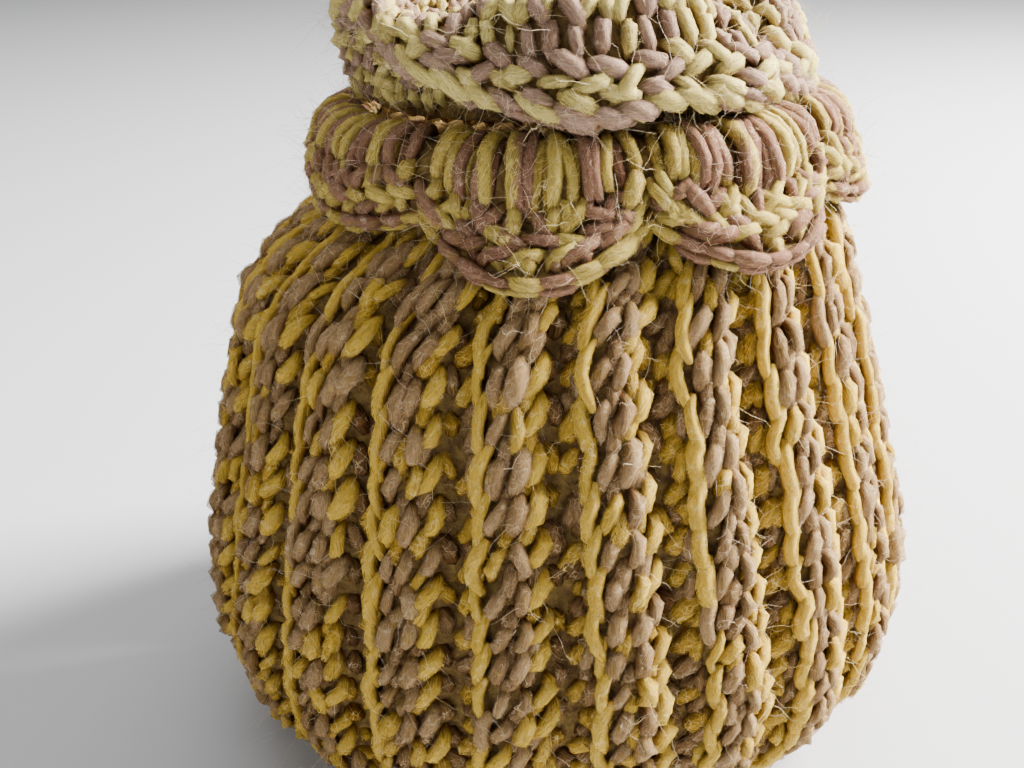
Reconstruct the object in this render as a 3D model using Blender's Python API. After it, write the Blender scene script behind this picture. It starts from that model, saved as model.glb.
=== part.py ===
"""Crocheted tea cosy: a ribbed cover, a collar of shells and a ruffle at the top.

Metres, +Z up. The origin is the middle of the hem, on the surface that it rests on.
Azimuths are in degrees, 0 at the front (-Y) and growing towards +X. The neck and all
above it lean a little towards +X, as on the worn piece.
"""
import math
from collections import namedtuple

import bmesh
import bpy
from mathutils import Vector

# Ribbed cover: sideways rib, one rib for every two rows
RIB_COUNT = 23
RIB_PITCH = 360.0 / RIB_COUNT          # degrees
FIRST_CREST = -53.2                    # azimuth of the middle of one rib
CLOTH_BEHIND_RIB = 0.0045              # thickness left under the valley between two ribs
HEM_WIDTH = 0.0065                     # width of the flat ring that the cover stands on

# Place across one rib, as a share of the pitch, and how far it stands out of the valley
RibPoint = namedtuple("RibPoint", "share rise")
RIB_POINTS = (
    RibPoint(-5 / 12, 0.0), RibPoint(-3 / 12, 0.62), RibPoint(-1 / 12, 1.0),
    RibPoint(1 / 12, 1.0), RibPoint(3 / 12, 0.62), RibPoint(5 / 12, 0.0),
)

# Cover from the hem to the gathered crown: height, radius on the ribs, depth of the ribs
Ring = namedtuple("Ring", "height radius rib")
COVER_RINGS = (
    Ring(0.0000, 0.0545, 0.0018),
    Ring(0.0045, 0.0622, 0.0028),
    Ring(0.0140, 0.0720, 0.0038),
    Ring(0.0270, 0.0768, 0.0040),
    Ring(0.0400, 0.0768, 0.0040),
    Ring(0.0520, 0.0750, 0.0040),
    Ring(0.0640, 0.0723, 0.0040),
    Ring(0.0760, 0.0695, 0.0040),
    Ring(0.0880, 0.0662, 0.0038),
    Ring(0.0980, 0.0630, 0.0036),
    Ring(0.1050, 0.0594, 0.0034),
    Ring(0.1100, 0.0550, 0.0030),
    Ring(0.1140, 0.0500, 0.0026),
    Ring(0.1190, 0.0450, 0.0020),
    Ring(0.1250, 0.0418, 0.0016),
    Ring(0.1305, 0.0408, 0.0014),
    Ring(0.1330, 0.0396, 0.0010),
    Ring(0.1338, 0.0360, 0.0008),
    Ring(0.1332, 0.0200, 0.0006),
)
CROWN_MIDDLE = 0.1314                  # height of the dimple that closes the crown

# Lean of the neck towards +X
LEAN = 0.0075
LEAN_FROM = 0.095
LEAN_TO = 0.122

# Slits left open along the valley between two ribs: the valley's number, the rings where
# the slit starts and ends, and half of its widest angle in degrees
Slit = namedtuple("Slit", "valley first last half_angle")
SLITS = (
    Slit(-3, 2, 6, 7.8),               # wide slit on the -X side
    Slit(9, 5, 10, 5.7),               # narrow slit on the +X side
)
SLIT_REACH = 32.0                      # degrees over which the ribs move aside

# Collar: a strip of shells that folds out and down from the neck
COLLAR_THICKNESS = 0.0050
Fold = namedtuple("Fold", "radius height")
COLLAR_FOLD = (
    Fold(0.0418, 0.1304), Fold(0.0470, 0.1304), Fold(0.0504, 0.1280), Fold(0.0517, 0.1235),
    Fold(0.0525, 0.1190), Fold(0.0542, 0.1160), Fold(0.0577, 0.1126), Fold(0.0605, 0.1096),
    Fold(0.0632, 0.1062),
)
Shell = namedtuple("Shell", "start end lowest")
SHELLS = (
    Shell(-80.0, -32.0, 0.1178), Shell(-32.0, 11.0, 0.1120), Shell(11.0, 54.0, 0.1122),
    Shell(54.0, 99.0, 0.1150), Shell(99.0, 145.0, 0.1135), Shell(145.0, 190.0, 0.1150),
    Shell(190.0, 234.0, 0.1130), Shell(234.0, 280.0, 0.1155),
)
NOTCH_HEIGHT = 0.1225                  # where two shells meet
NOTCH_TUCK = 0.0016                    # how far the strip draws in between two shells
COLLAR_COLUMNS_PER_SHELL = 12
COLLAR_ROWS = 7

# Ruffle: a frill that stands on the crown, turns over and drops to a wavy rim
RUFFLE_THICKNESS = 0.0045
RUFFLE_CENTRE = 0.0055
RUFFLE_BASE = Fold(0.0378, 0.1350)
Wave = namedtuple("Wave", "azimuth rim_radius rim_height top_radius top_height")
WAVES = (
    Wave(-150.0, 0.0475, 0.1445, 0.0410, 0.1520), Wave(-118.0, 0.0400, 0.1535, 0.0398, 0.1450),
    Wave(-90.0, 0.0410, 0.1525, 0.0412, 0.1450), Wave(-62.0, 0.0402, 0.1550, 0.0415, 0.1455),
    Wave(-29.0, 0.0470, 0.1440, 0.0410, 0.1490), Wave(-18.0, 0.0470, 0.1408, 0.0385, 0.1520),
    Wave(4.0, 0.0500, 0.1376, 0.0405, 0.1550), Wave(22.0, 0.0485, 0.1394, 0.0390, 0.1545),
    Wave(38.0, 0.0495, 0.1378, 0.0375, 0.1500), Wave(50.0, 0.0455, 0.1378, 0.0330, 0.1470),
    Wave(64.0, 0.0465, 0.1352, 0.0375, 0.1510), Wave(82.0, 0.0450, 0.1370, 0.0385, 0.1540),
    Wave(104.0, 0.0425, 0.1470, 0.0395, 0.1470), Wave(128.0, 0.0480, 0.1440, 0.0405, 0.1545),
    Wave(154.0, 0.0415, 0.1535, 0.0395, 0.1460), Wave(180.0, 0.0455, 0.1490, 0.0400, 0.1480),
)
RUFFLE_COLUMNS = 108
RUFFLE_ROWS = 7

WOOL_GOLD = (0.50, 0.36, 0.10)
WOOL_MAUVE = (0.36, 0.24, 0.17)
WOOL_PALE = (0.58, 0.46, 0.22)
WOOL_ROUGHNESS = 0.95


def ease(value):
    """Smooth step from 0 to 1 as value goes from 0 to 1."""
    value = min(max(value, 0.0), 1.0)
    return value * value * (3.0 - 2.0 * value)


def turned(azimuth, radius, height):
    """The point at an azimuth, a radius and a height."""
    angle = math.radians(azimuth)
    return Vector((radius * math.sin(angle), -radius * math.cos(angle), height))


def lean_at(height):
    return LEAN * ease((height - LEAN_FROM) / (LEAN_TO - LEAN_FROM))


def wool(name, colour):
    material = bpy.data.materials.new(name)
    material.use_nodes = True
    shader = material.node_tree.nodes["Principled BSDF"]
    shader.inputs["Base Color"].default_value = (*colour, 1.0)
    shader.inputs["Roughness"].default_value = WOOL_ROUGHNESS
    return material


def place(name, mesh_builder, material, parent, offset=0.0):
    """Turn a closed bmesh into a smooth object, moved by offset along X."""
    bmesh.ops.recalc_face_normals(mesh_builder, faces=mesh_builder.faces)
    mesh = bpy.data.meshes.new(name)
    mesh_builder.to_mesh(mesh)
    mesh_builder.free()
    mesh.shade_smooth()
    mesh.set_sharp_from_angle(angle=math.radians(60.0))
    mesh.materials.append(material)
    piece = bpy.data.objects.new(name, mesh)
    piece.location.x = offset
    piece.parent = parent
    bpy.context.scene.collection.objects.link(piece)


def slit_azimuth(slit):
    """Azimuth of the valley that a slit opens; valley 0 follows the first rib."""
    return FIRST_CREST + RIB_PITCH * (slit.valley + 0.5)


def moved_aside(azimuth, row):
    """Azimuth of a point of the cover once the ribs beside each slit have moved apart."""
    for slit in SLITS:
        if not slit.first < row < slit.last:
            continue
        share = (row - slit.first) / (slit.last - slit.first)
        away = (azimuth - slit_azimuth(slit) + 180.0) % 360.0 - 180.0
        if abs(away) < SLIT_REACH:
            fade = (1.0 - abs(away) / SLIT_REACH) ** 2
            azimuth += math.copysign(slit.half_angle * math.sin(math.pi * share) * fade, away)
    return azimuth


def rib_azimuth(column):
    """Azimuth and rise of an outer column, counted from the first rib."""
    rib, point = divmod(column, len(RIB_POINTS))
    return FIRST_CREST + RIB_PITCH * (rib + RIB_POINTS[point].share), RIB_POINTS[point].rise


def inner_fold(row):
    """Radius and height of the inner wall behind a ring, square to the cover's slope."""
    ring = COVER_RINGS[row]
    if row == 0:
        return ring.radius - HEM_WIDTH, 0.0
    below = COVER_RINGS[row - 1]
    above = COVER_RINGS[min(row + 1, len(COVER_RINGS) - 1)]
    slope = Vector((above.radius - below.radius, above.height - below.height)).normalized()
    depth = ring.rib + CLOTH_BEHIND_RIB
    return ring.radius - depth * slope.y, ring.height + depth * slope.x


def cover_rings(mesh_builder):
    """Vertices of the outer wall, ribs and all, and of the plainer inner wall."""
    points = len(RIB_POINTS)
    outer, inner = [], []
    for row, ring in enumerate(COVER_RINGS):
        outer_ring, inner_ring = [], []
        inner_radius, inner_height = inner_fold(row)
        for column in range(RIB_COUNT * points):
            azimuth, rise = rib_azimuth(column)
            azimuth = moved_aside(azimuth, row)
            radius = ring.radius - ring.rib * (1.0 - rise)
            point = turned(azimuth, radius, ring.height)
            point.x += lean_at(ring.height)
            outer_ring.append(mesh_builder.verts.new(point))
            if column % points in (0, points - 1):
                point = turned(azimuth, inner_radius, inner_height)
                point.x += lean_at(ring.height)
                inner_ring.append(mesh_builder.verts.new(point))
        outer.append(outer_ring)
        inner.append(inner_ring)
    return outer, inner


def is_open(row, column, columns_per_rib):
    """Whether the cell above a row and after a column belongs to a slit."""
    return any(
        slit.first <= row < slit.last
        and column == ((slit.valley % RIB_COUNT) + 1) * columns_per_rib - 1
        for slit in SLITS
    )


def wall(mesh_builder, rings, columns_per_rib):
    """Faces of one wall, left open where the slits are."""
    count = len(rings[0])
    for row in range(len(rings) - 1):
        for column in range(count):
            if is_open(row, column, columns_per_rib):
                continue
            beside = (column + 1) % count
            mesh_builder.faces.new((
                rings[row][column], rings[row][beside],
                rings[row + 1][beside], rings[row + 1][column],
            ))


def cap(mesh_builder, ring, height):
    """Close a ring with a fan around a middle point."""
    middle = mesh_builder.verts.new((lean_at(height), 0.0, height))
    for column, vertex in enumerate(ring):
        mesh_builder.faces.new((vertex, ring[(column + 1) % len(ring)], middle))


def hem(mesh_builder, outer, inner):
    """Flat ring under the cover: six outer points to two inner ones for each rib."""
    points = len(RIB_POINTS)
    for rib in range(RIB_COUNT):
        edge = outer[rib * points:(rib + 1) * points]
        first, last = inner[2 * rib], inner[2 * rib + 1]
        half = points // 2
        for column in range(half - 1):
            mesh_builder.faces.new((edge[column], edge[column + 1], first))
            mesh_builder.faces.new((edge[half + column], edge[half + column + 1], last))
        mesh_builder.faces.new((edge[half - 1], edge[half], last, first))
        next_edge = outer[(rib + 1) * points % len(outer)]
        next_inner = inner[2 * (rib + 1) % len(inner)]
        mesh_builder.faces.new((edge[-1], next_edge, next_inner, last))


def slit_edges(mesh_builder, outer, inner, slit):
    """Cloth edge all round one slit, from the outer wall to the inner wall."""
    points = len(RIB_POINTS)
    rib = slit.valley % RIB_COUNT
    after = (rib + 1) % RIB_COUNT
    sides = ((rib * points + points - 1, 2 * rib + 1), (after * points, 2 * after))
    for row in range(slit.first, slit.last):
        for out_column, in_column in sides:
            mesh_builder.faces.new((
                outer[row][out_column], outer[row + 1][out_column],
                inner[row + 1][in_column], inner[row][in_column],
            ))
    for row in (slit.first, slit.last):
        (out_a, in_a), (out_b, in_b) = sides
        mesh_builder.faces.new((
            outer[row][out_a], outer[row][out_b], inner[row][in_b], inner[row][in_a],
        ))


def ribbed_cover(parent):
    """The one-piece cover: ribs outside, a plain wall inside, two slits, a closed crown."""
    mesh_builder = bmesh.new()
    outer, inner = cover_rings(mesh_builder)
    wall(mesh_builder, outer, len(RIB_POINTS))
    wall(mesh_builder, inner, 2)
    hem(mesh_builder, outer[0], inner[0])
    for slit in SLITS:
        slit_edges(mesh_builder, outer, inner, slit)
    cap(mesh_builder, outer[-1], CROWN_MIDDLE)
    cap(mesh_builder, inner[-1], CROWN_MIDDLE - CLOTH_BEHIND_RIB)
    place("ribbed_cover", mesh_builder, wool("wool_gold", WOOL_GOLD), parent)


def along(path, share):
    """Point at a share of the length of a radius and height path."""
    points = [Vector(point) for point in path]
    lengths = [(b - a).length for a, b in zip(points, points[1:])]
    left = share * sum(lengths)
    for start, end, length in zip(points, points[1:], lengths):
        if left <= length:
            return start.lerp(end, left / length)
        left -= length
    return points[-1]


def share_at_height(path, height):
    """Share of a falling path's length at which it comes down to a height."""
    low, high = 0.25, 1.0
    for _ in range(30):
        middle = 0.5 * (low + high)
        if along(path, middle).y > height:
            low = middle
        else:
            high = middle
    return low


def cloth_strip(name, middle, thickness, material, parent, offset):
    """A thick strip round the neck from its middle surface, rows from root to free edge."""
    mesh_builder = bmesh.new()
    rows, columns = len(middle), len(middle[0])
    faces_out, faces_in = [], []
    for row in range(rows):
        edge = row in (0, rows - 1)
        half = 0.5 * thickness * (0.72 if edge else 1.0)
        out_ring, in_ring = [], []
        for column in range(columns):
            along_ring = middle[row][(column + 1) % columns] - middle[row][column - 1]
            above, below = middle[max(row - 1, 0)], middle[min(row + 1, rows - 1)]
            normal = along_ring.cross(above[column] - below[column]).normalized()
            out_ring.append(mesh_builder.verts.new(middle[row][column] + half * normal))
            in_ring.append(mesh_builder.verts.new(middle[row][column] - half * normal))
        faces_out.append(out_ring)
        faces_in.append(in_ring)
    section = faces_out + faces_in[::-1]
    for row, ring in enumerate(section):
        after = section[(row + 1) % len(section)]
        for column in range(columns):
            beside = (column + 1) % columns
            mesh_builder.faces.new((ring[column], ring[beside], after[beside], after[column]))
    place(name, mesh_builder, material, parent, offset)


def shell_collar(parent):
    """Eight shells side by side; each hangs lowest in its middle."""
    middle = [[] for _ in range(COLLAR_ROWS)]
    for shell in SHELLS:
        for column in range(COLLAR_COLUMNS_PER_SHELL):
            across = column / COLLAR_COLUMNS_PER_SHELL
            azimuth = shell.start + (shell.end - shell.start) * across
            round_edge = math.sqrt(1.0 - (2.0 * across - 1.0) ** 2)
            height = NOTCH_HEIGHT + (shell.lowest - NOTCH_HEIGHT) * round_edge
            reach = share_at_height(COLLAR_FOLD, height)
            tuck = NOTCH_TUCK * (1.0 - round_edge)
            for row, ring in enumerate(middle):
                share = row / (COLLAR_ROWS - 1)
                fold = along(COLLAR_FOLD, share * reach)
                ring.append(turned(azimuth, fold.x - tuck * ease(share), fold.y))
    material = wool("wool_mauve", WOOL_MAUVE)
    cloth_strip("shell_collar", middle, COLLAR_THICKNESS, material, parent, LEAN)


def wave_at(azimuth):
    """Rim and top of the ruffle at an azimuth, eased between the rows of the table."""
    for number, wave in enumerate(WAVES):
        after = WAVES[(number + 1) % len(WAVES)]
        span = (after.azimuth - wave.azimuth) % 360.0
        passed = (azimuth - wave.azimuth) % 360.0
        if passed < span:
            blend = ease(passed / span)
            return [a + (b - a) * blend for a, b in zip(wave[1:], after[1:])]
    return list(WAVES[0][1:])


def ruffle_point(azimuth, share):
    """Point of the ruffle's middle surface: a smooth curve from base over top to rim."""
    rim_radius, rim_height, top_radius, top_height = wave_at(azimuth)
    base = Vector(RUFFLE_BASE)
    top = Vector((top_radius, top_height))
    rim = Vector((rim_radius, rim_height))
    control = 2.0 * top - 0.5 * (base + rim)
    first, last = (1.0 - share) ** 2, share ** 2
    fold = first * base + 2.0 * share * (1.0 - share) * control + last * rim
    return turned(azimuth, fold.x, fold.y)


def top_ruffle(parent):
    """The frill over the crown, as uneven as the worn piece."""
    middle = [
        [ruffle_point(360.0 * column / RUFFLE_COLUMNS, row / (RUFFLE_ROWS - 1))
         for column in range(RUFFLE_COLUMNS)]
        for row in range(RUFFLE_ROWS)
    ]
    material = wool("wool_pale", WOOL_PALE)
    cloth_strip("top_ruffle", middle, RUFFLE_THICKNESS, material, parent, RUFFLE_CENTRE)


def main():
    for leftover in list(bpy.data.objects):
        bpy.data.objects.remove(leftover)
    root = bpy.data.objects.new("tea_cosy", None)
    bpy.context.scene.collection.objects.link(root)
    ribbed_cover(root)
    shell_collar(root)
    top_ruffle(root)


main()
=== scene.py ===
"""Dress of the crocheted tea cosy: its cloth, every stitch of its yarn and the loose wool hair.

Metres, +Z up, the hem's middle at the origin. Azimuths are in degrees, 0 at the front (-Y)
and growing towards +X. The cloth follows the solids of the frame, and the yarn lies on it.
"""
import math
from collections import namedtuple

import bmesh
import bpy
import numpy as np
from mathutils import Matrix, Vector


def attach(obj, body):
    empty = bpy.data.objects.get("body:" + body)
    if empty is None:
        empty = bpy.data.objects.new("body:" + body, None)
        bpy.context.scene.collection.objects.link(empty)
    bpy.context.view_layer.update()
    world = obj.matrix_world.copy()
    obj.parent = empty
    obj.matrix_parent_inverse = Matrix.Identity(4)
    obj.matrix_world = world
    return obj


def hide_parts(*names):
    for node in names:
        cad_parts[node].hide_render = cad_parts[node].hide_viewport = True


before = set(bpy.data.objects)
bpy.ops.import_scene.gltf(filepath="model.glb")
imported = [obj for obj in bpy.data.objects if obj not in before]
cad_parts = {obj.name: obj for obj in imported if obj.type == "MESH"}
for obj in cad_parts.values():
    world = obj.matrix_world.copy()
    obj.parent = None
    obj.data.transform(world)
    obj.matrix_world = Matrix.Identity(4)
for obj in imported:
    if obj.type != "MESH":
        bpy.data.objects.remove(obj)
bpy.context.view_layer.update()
MM = 0.001

# Ribs of the cover, as in the solid
RIB_COUNT = 23
RIB_PITCH = 360.0 / RIB_COUNT
FIRST_CREST = -53.2
CLOTH_BEHIND_RIB = 0.0045
HEM_WIDTH = 0.0065
RIB_ROUNDNESS = 1.4

# Cover from the hem to the middle of the crown: height, radius on the ribs, rib depth
COVER_RINGS = np.array((
    (0.0000, 0.0545, 0.0018), (0.0045, 0.0622, 0.0028), (0.0140, 0.0720, 0.0038),
    (0.0270, 0.0768, 0.0040), (0.0400, 0.0768, 0.0040), (0.0520, 0.0750, 0.0040),
    (0.0640, 0.0723, 0.0040), (0.0760, 0.0695, 0.0040), (0.0880, 0.0662, 0.0038),
    (0.0980, 0.0630, 0.0036), (0.1050, 0.0594, 0.0034), (0.1100, 0.0550, 0.0030),
    (0.1140, 0.0500, 0.0026), (0.1190, 0.0450, 0.0020), (0.1250, 0.0418, 0.0016),
    (0.1305, 0.0408, 0.0014), (0.1330, 0.0396, 0.0010), (0.1338, 0.0360, 0.0008),
    (0.1332, 0.0200, 0.0006), (0.1314, 0.0004, 0.0000),
))
RISING_RINGS = 16
LEAN = 0.0075
LEAN_FROM = 0.095
LEAN_TO = 0.122

# Slits along the valley between two ribs: valley, first and last ring, half angle
Slit = namedtuple("Slit", "valley first last half_angle")
SLITS = (Slit(-3, 2, 6, 7.8), Slit(9, 5, 10, 5.7))
SLIT_REACH = 32.0

# Collar of shells: the fold as radius and height, and start, end, lowest point of each shell
COLLAR_THICKNESS = 0.0050
COLLAR_FOLD = np.array((
    (0.0418, 0.1304), (0.0470, 0.1304), (0.0504, 0.1280), (0.0517, 0.1235), (0.0525, 0.1190),
    (0.0542, 0.1160), (0.0577, 0.1126), (0.0605, 0.1096), (0.0632, 0.1062),
))
SHELLS = np.array((
    (-80.0, -32.0, 0.1178), (-32.0, 11.0, 0.1120), (11.0, 54.0, 0.1122), (54.0, 99.0, 0.1150),
    (99.0, 145.0, 0.1135), (145.0, 190.0, 0.1150), (190.0, 234.0, 0.1130),
    (234.0, 280.0, 0.1155),
))
NOTCH_HEIGHT = 0.1225
NOTCH_TUCK = 0.0016

# Ruffle: azimuth, then radius and height of the rim and of the top of the fold
RUFFLE_THICKNESS = 0.0045
RUFFLE_CENTRE = 0.0055
RUFFLE_BASE = np.array((0.0378, 0.1350))
WAVES = np.array((
    (-150.0, 0.0475, 0.1445, 0.0410, 0.1520), (-118.0, 0.0400, 0.1535, 0.0398, 0.1450),
    (-90.0, 0.0410, 0.1525, 0.0412, 0.1450), (-62.0, 0.0402, 0.1550, 0.0415, 0.1455),
    (-29.0, 0.0470, 0.1440, 0.0410, 0.1490), (-18.0, 0.0470, 0.1408, 0.0385, 0.1520),
    (4.0, 0.0500, 0.1376, 0.0405, 0.1550), (22.0, 0.0485, 0.1394, 0.0390, 0.1545),
    (38.0, 0.0495, 0.1378, 0.0375, 0.1500), (50.0, 0.0455, 0.1378, 0.0330, 0.1470),
    (64.0, 0.0465, 0.1352, 0.0375, 0.1510), (82.0, 0.0450, 0.1370, 0.0385, 0.1540),
    (104.0, 0.0425, 0.1470, 0.0395, 0.1470), (128.0, 0.0480, 0.1440, 0.0405, 0.1545),
    (154.0, 0.0415, 0.1535, 0.0395, 0.1460), (180.0, 0.0455, 0.1490, 0.0400, 0.1480),
    (210.0, 0.0475, 0.1445, 0.0410, 0.1520),
))

# Wool in linear colour
YELLOW = (0.66, 0.43, 0.050)
TAUPE = (0.36, 0.225, 0.105)
MAUVE = (0.29, 0.145, 0.090)
# the collar's duller yellow and the ruffle's paler wools are copies of the cover's: painted shade
# on the collar under the ruffle, painted light on the lit ruffle
SOFT_YELLOW = (0.58, 0.43, 0.090)
PALE_YELLOW = (0.70, 0.57, 0.17)
PALE_MAUVE = (0.40, 0.25, 0.18)
# painted shade: the dark brown and mustard of the cloth that shows in the gaps between strands
DEEP_BROWN = (0.130, 0.074, 0.034)
MUSTARD = (0.30, 0.195, 0.060)
# painted shade: the brown that strands turn where they face in between two strands
SHADE_BETWEEN_STRANDS = (0.36, 0.22, 0.11)
# painted highlight: the paler colour of loose fibres that catch the light
LOOSE_FIBRE_HIGHLIGHT = (0.82, 0.72, 0.48)
YELLOW_HAIR = (0.80, 0.62, 0.24)
MAUVE_HAIR = (0.52, 0.36, 0.25)
# painted highlight: pale hairs that catch the light
HAIR_HIGHLIGHT = (0.90, 0.84, 0.66)

# The cloth lies so far under the solids' faces, and by this share further between two ribs
YARN_SINK = 0.0012
VALLEY_SINK = 0.6


# Shapes of the cloth, and the steps at which their directions are measured
CLIMB_STEP = 0.0004
SHARE_STEP = 0.01
AZIMUTH_STEP = 0.4


def ease(value):
    value = np.clip(value, 0.0, 1.0)
    return value * value * (3.0 - 2.0 * value)


def unit(vectors):
    return vectors / np.maximum(np.linalg.norm(vectors, axis=-1, keepdims=True), 1e-12)


def turned(azimuth, radius, height):
    angle = np.radians(azimuth)
    return np.stack((radius * np.sin(angle), -radius * np.cos(angle), height + 0.0 * angle), -1)


def lengths_along(path):
    steps = np.linalg.norm(np.diff(path, axis=0), axis=1)
    return np.concatenate(((0.0,), np.cumsum(steps)))


def smooth_rows(keys, rows, at):
    """A smooth curve through the rows of a table, one row at each key."""
    slopes = np.gradient(rows, keys, axis=0)
    at = np.clip(at, keys[0], keys[-1])
    number = np.clip(np.searchsorted(keys, at, side="right") - 1, 0, len(keys) - 2)
    span = (keys[number + 1] - keys[number])[..., None]
    t = (at - keys[number])[..., None] / span
    square, cube = t ** 2, t ** 3
    start, end = rows[number], rows[number + 1]
    return (
        (2 * cube - 3 * square + 1) * start + (3 * square - 2 * cube) * end
        + span * ((cube - 2 * square + t) * slopes[number] + (cube - square) * slopes[number + 1])
    )


COVER_KEYS = lengths_along(COVER_RINGS[:, 1::-1])


def climb_at_height(height):
    """Length up the cover's outer face at which it reaches a height below the crown."""
    return float(np.interp(height, COVER_RINGS[:RISING_RINGS, 0], COVER_KEYS[:RISING_RINGS]))


def lean_at(height):
    return LEAN * ease((height - LEAN_FROM) / (LEAN_TO - LEAN_FROM))


def slit_azimuth(slit):
    return FIRST_CREST + RIB_PITCH * (slit.valley + 0.5)


def moved_aside(azimuth, climb):
    """Azimuth once the ribs beside each slit have moved apart."""
    row = np.interp(climb, COVER_KEYS, np.arange(len(COVER_KEYS)))
    moved = azimuth + 0.0 * row
    for slit in SLITS:
        share = np.clip((row - slit.first) / (slit.last - slit.first), 0.0, 1.0)
        away = (azimuth - slit_azimuth(slit) + 180.0) % 360.0 - 180.0
        fade = np.clip(1.0 - np.abs(away) / SLIT_REACH, 0.0, 1.0) ** 2
        moved = moved + np.copysign(slit.half_angle * np.sin(np.pi * share) * fade, away)
    return moved


def cover_profile(climb):
    """Height, radius, rib depth and the outward direction at a length up the cover."""
    row = smooth_rows(COVER_KEYS, COVER_RINGS, climb)
    ahead = smooth_rows(COVER_KEYS, COVER_RINGS, climb + CLIMB_STEP)
    behind = smooth_rows(COVER_KEYS, COVER_RINGS, climb - CLIMB_STEP)
    slope = unit(ahead[..., :2] - behind[..., :2])
    return row[..., 0], row[..., 1], row[..., 2], slope[..., 0], -slope[..., 1]


def cover_face(azimuth, climb, sink=0.0):
    """Point on the ribbed face, or so far under it."""
    height, radius, rib, out, up = cover_profile(climb)
    across = (azimuth - FIRST_CREST) / RIB_PITCH
    across = across - np.round(across)
    rise = np.abs(np.cos(np.pi * across)) ** RIB_ROUNDNESS
    fall = rib * (1.0 - rise)
    sink = sink * (1.0 + VALLEY_SINK * (1.0 - rise))
    fall_up = np.maximum(up, 0.0)
    size = np.maximum(np.hypot(out, fall_up), 1e-9)
    radius = radius - fall * out / size - sink * out
    height = height - fall * fall_up / size - sink * up
    point = turned(moved_aside(azimuth, climb), radius, height)
    point[..., 0] += lean_at(height)
    return point


def fold_steps(fold, count=400):
    """Lengths, radii and heights in even small steps along a smooth fold."""
    keys = lengths_along(fold)
    rows = smooth_rows(keys, fold, np.linspace(0.0, keys[-1], count))
    return lengths_along(rows), rows[:, 0], rows[:, 1]


FOLD_LENGTHS, FOLD_RADII, FOLD_HEIGHTS = fold_steps(COLLAR_FOLD)
FOLD_FALLS = FOLD_LENGTHS > 0.008


def collar_middle(azimuth, share):
    """Point of the collar's middle surface, share 0 at the neck and 1 at the scalloped edge."""
    around = (azimuth - SHELLS[0, 0]) % 360.0 + SHELLS[0, 0]
    number = np.clip(np.searchsorted(SHELLS[:, 0], around, side="right") - 1, 0, len(SHELLS) - 1)
    start, end, lowest = SHELLS[number, 0], SHELLS[number, 1], SHELLS[number, 2]
    across = (around - start) / (end - start)
    round_edge = np.sin(np.pi * np.clip(across, 0.004, 0.996)) ** 0.62
    height = NOTCH_HEIGHT + (lowest - NOTCH_HEIGHT) * round_edge
    falling, lengths = FOLD_HEIGHTS[FOLD_FALLS][::-1], FOLD_LENGTHS[FOLD_FALLS][::-1]
    length = share * np.interp(height, falling, lengths)
    radius = np.interp(length, FOLD_LENGTHS, FOLD_RADII)
    radius = radius - NOTCH_TUCK * (1.0 - round_edge) * ease(share)
    point = turned(azimuth, radius, np.interp(length, FOLD_LENGTHS, FOLD_HEIGHTS))
    point[..., 0] += LEAN
    return point


def ruffle_middle(azimuth, share):
    """Point of the ruffle's middle surface, share 0 at the crown and 1 at the wavy rim."""
    around = (azimuth - WAVES[0, 0]) % 360.0 + WAVES[0, 0]
    number = np.clip(np.searchsorted(WAVES[:, 0], around, side="right") - 1, 0, len(WAVES) - 2)
    start, end = WAVES[number], WAVES[number + 1]
    blend = ease((around - start[..., 0]) / (end[..., 0] - start[..., 0]))[..., None]
    wave = start + (end - start) * blend
    rim, top = wave[..., 1:3], wave[..., 3:5]
    share = (share + 0.0 * around)[..., None]
    control = 2.0 * top - 0.5 * (RUFFLE_BASE + rim)
    fold = (1 - share) ** 2 * RUFFLE_BASE + 2 * share * (1 - share) * control + share ** 2 * rim
    point = turned(azimuth, fold[..., 0], fold[..., 1])
    point[..., 0] += RUFFLE_CENTRE
    return point


def outward(surface, azimuth, place, step):
    """Outward direction of a surface, from small steps round and along it."""
    around = surface(azimuth + AZIMUTH_STEP, place) - surface(azimuth - AZIMUTH_STEP, place)
    along = surface(azimuth, place + step) - surface(azimuth, place - step)
    return unit(np.cross(around, along))


def towards_edge(surface, azimuth, share):
    """Direction in which the share grows on a strip."""
    return unit(surface(azimuth, share + SHARE_STEP) - surface(azimuth, share - SHARE_STEP))


def on_cover(azimuth, climb, lift):
    """Place over the cover's face, and the outward direction there."""
    normal = outward(cover_face, azimuth, climb, CLIMB_STEP)
    return cover_face(azimuth, climb) + lift[..., None] * normal, normal


def on_strip(surface, thickness, side):
    """Placer for yarn on one side (1 or -1) of a strip: azimuth, share and lift to a place."""
    def place(azimuth, share, lift):
        normal = -side * outward(surface, azimuth, share, SHARE_STEP)
        return surface(azimuth, share) + (0.5 * thickness + lift)[..., None] * normal, normal
    return place


def on_edge(surface, thickness):
    """Placer round a strip's edge: azimuth, angle (-90 under, 90 over) and lift to a place."""
    def place(azimuth, angle, lift):
        share = np.ones(np.shape(azimuth))
        over = -outward(surface, azimuth, share, SHARE_STEP)
        away = towards_edge(surface, azimuth, share)
        turn = np.radians(angle)[..., None]
        normal = np.sin(turn) * over + np.cos(turn) * away
        return surface(azimuth, share) + (0.5 * thickness + lift)[..., None] * normal, normal
    return place


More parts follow.
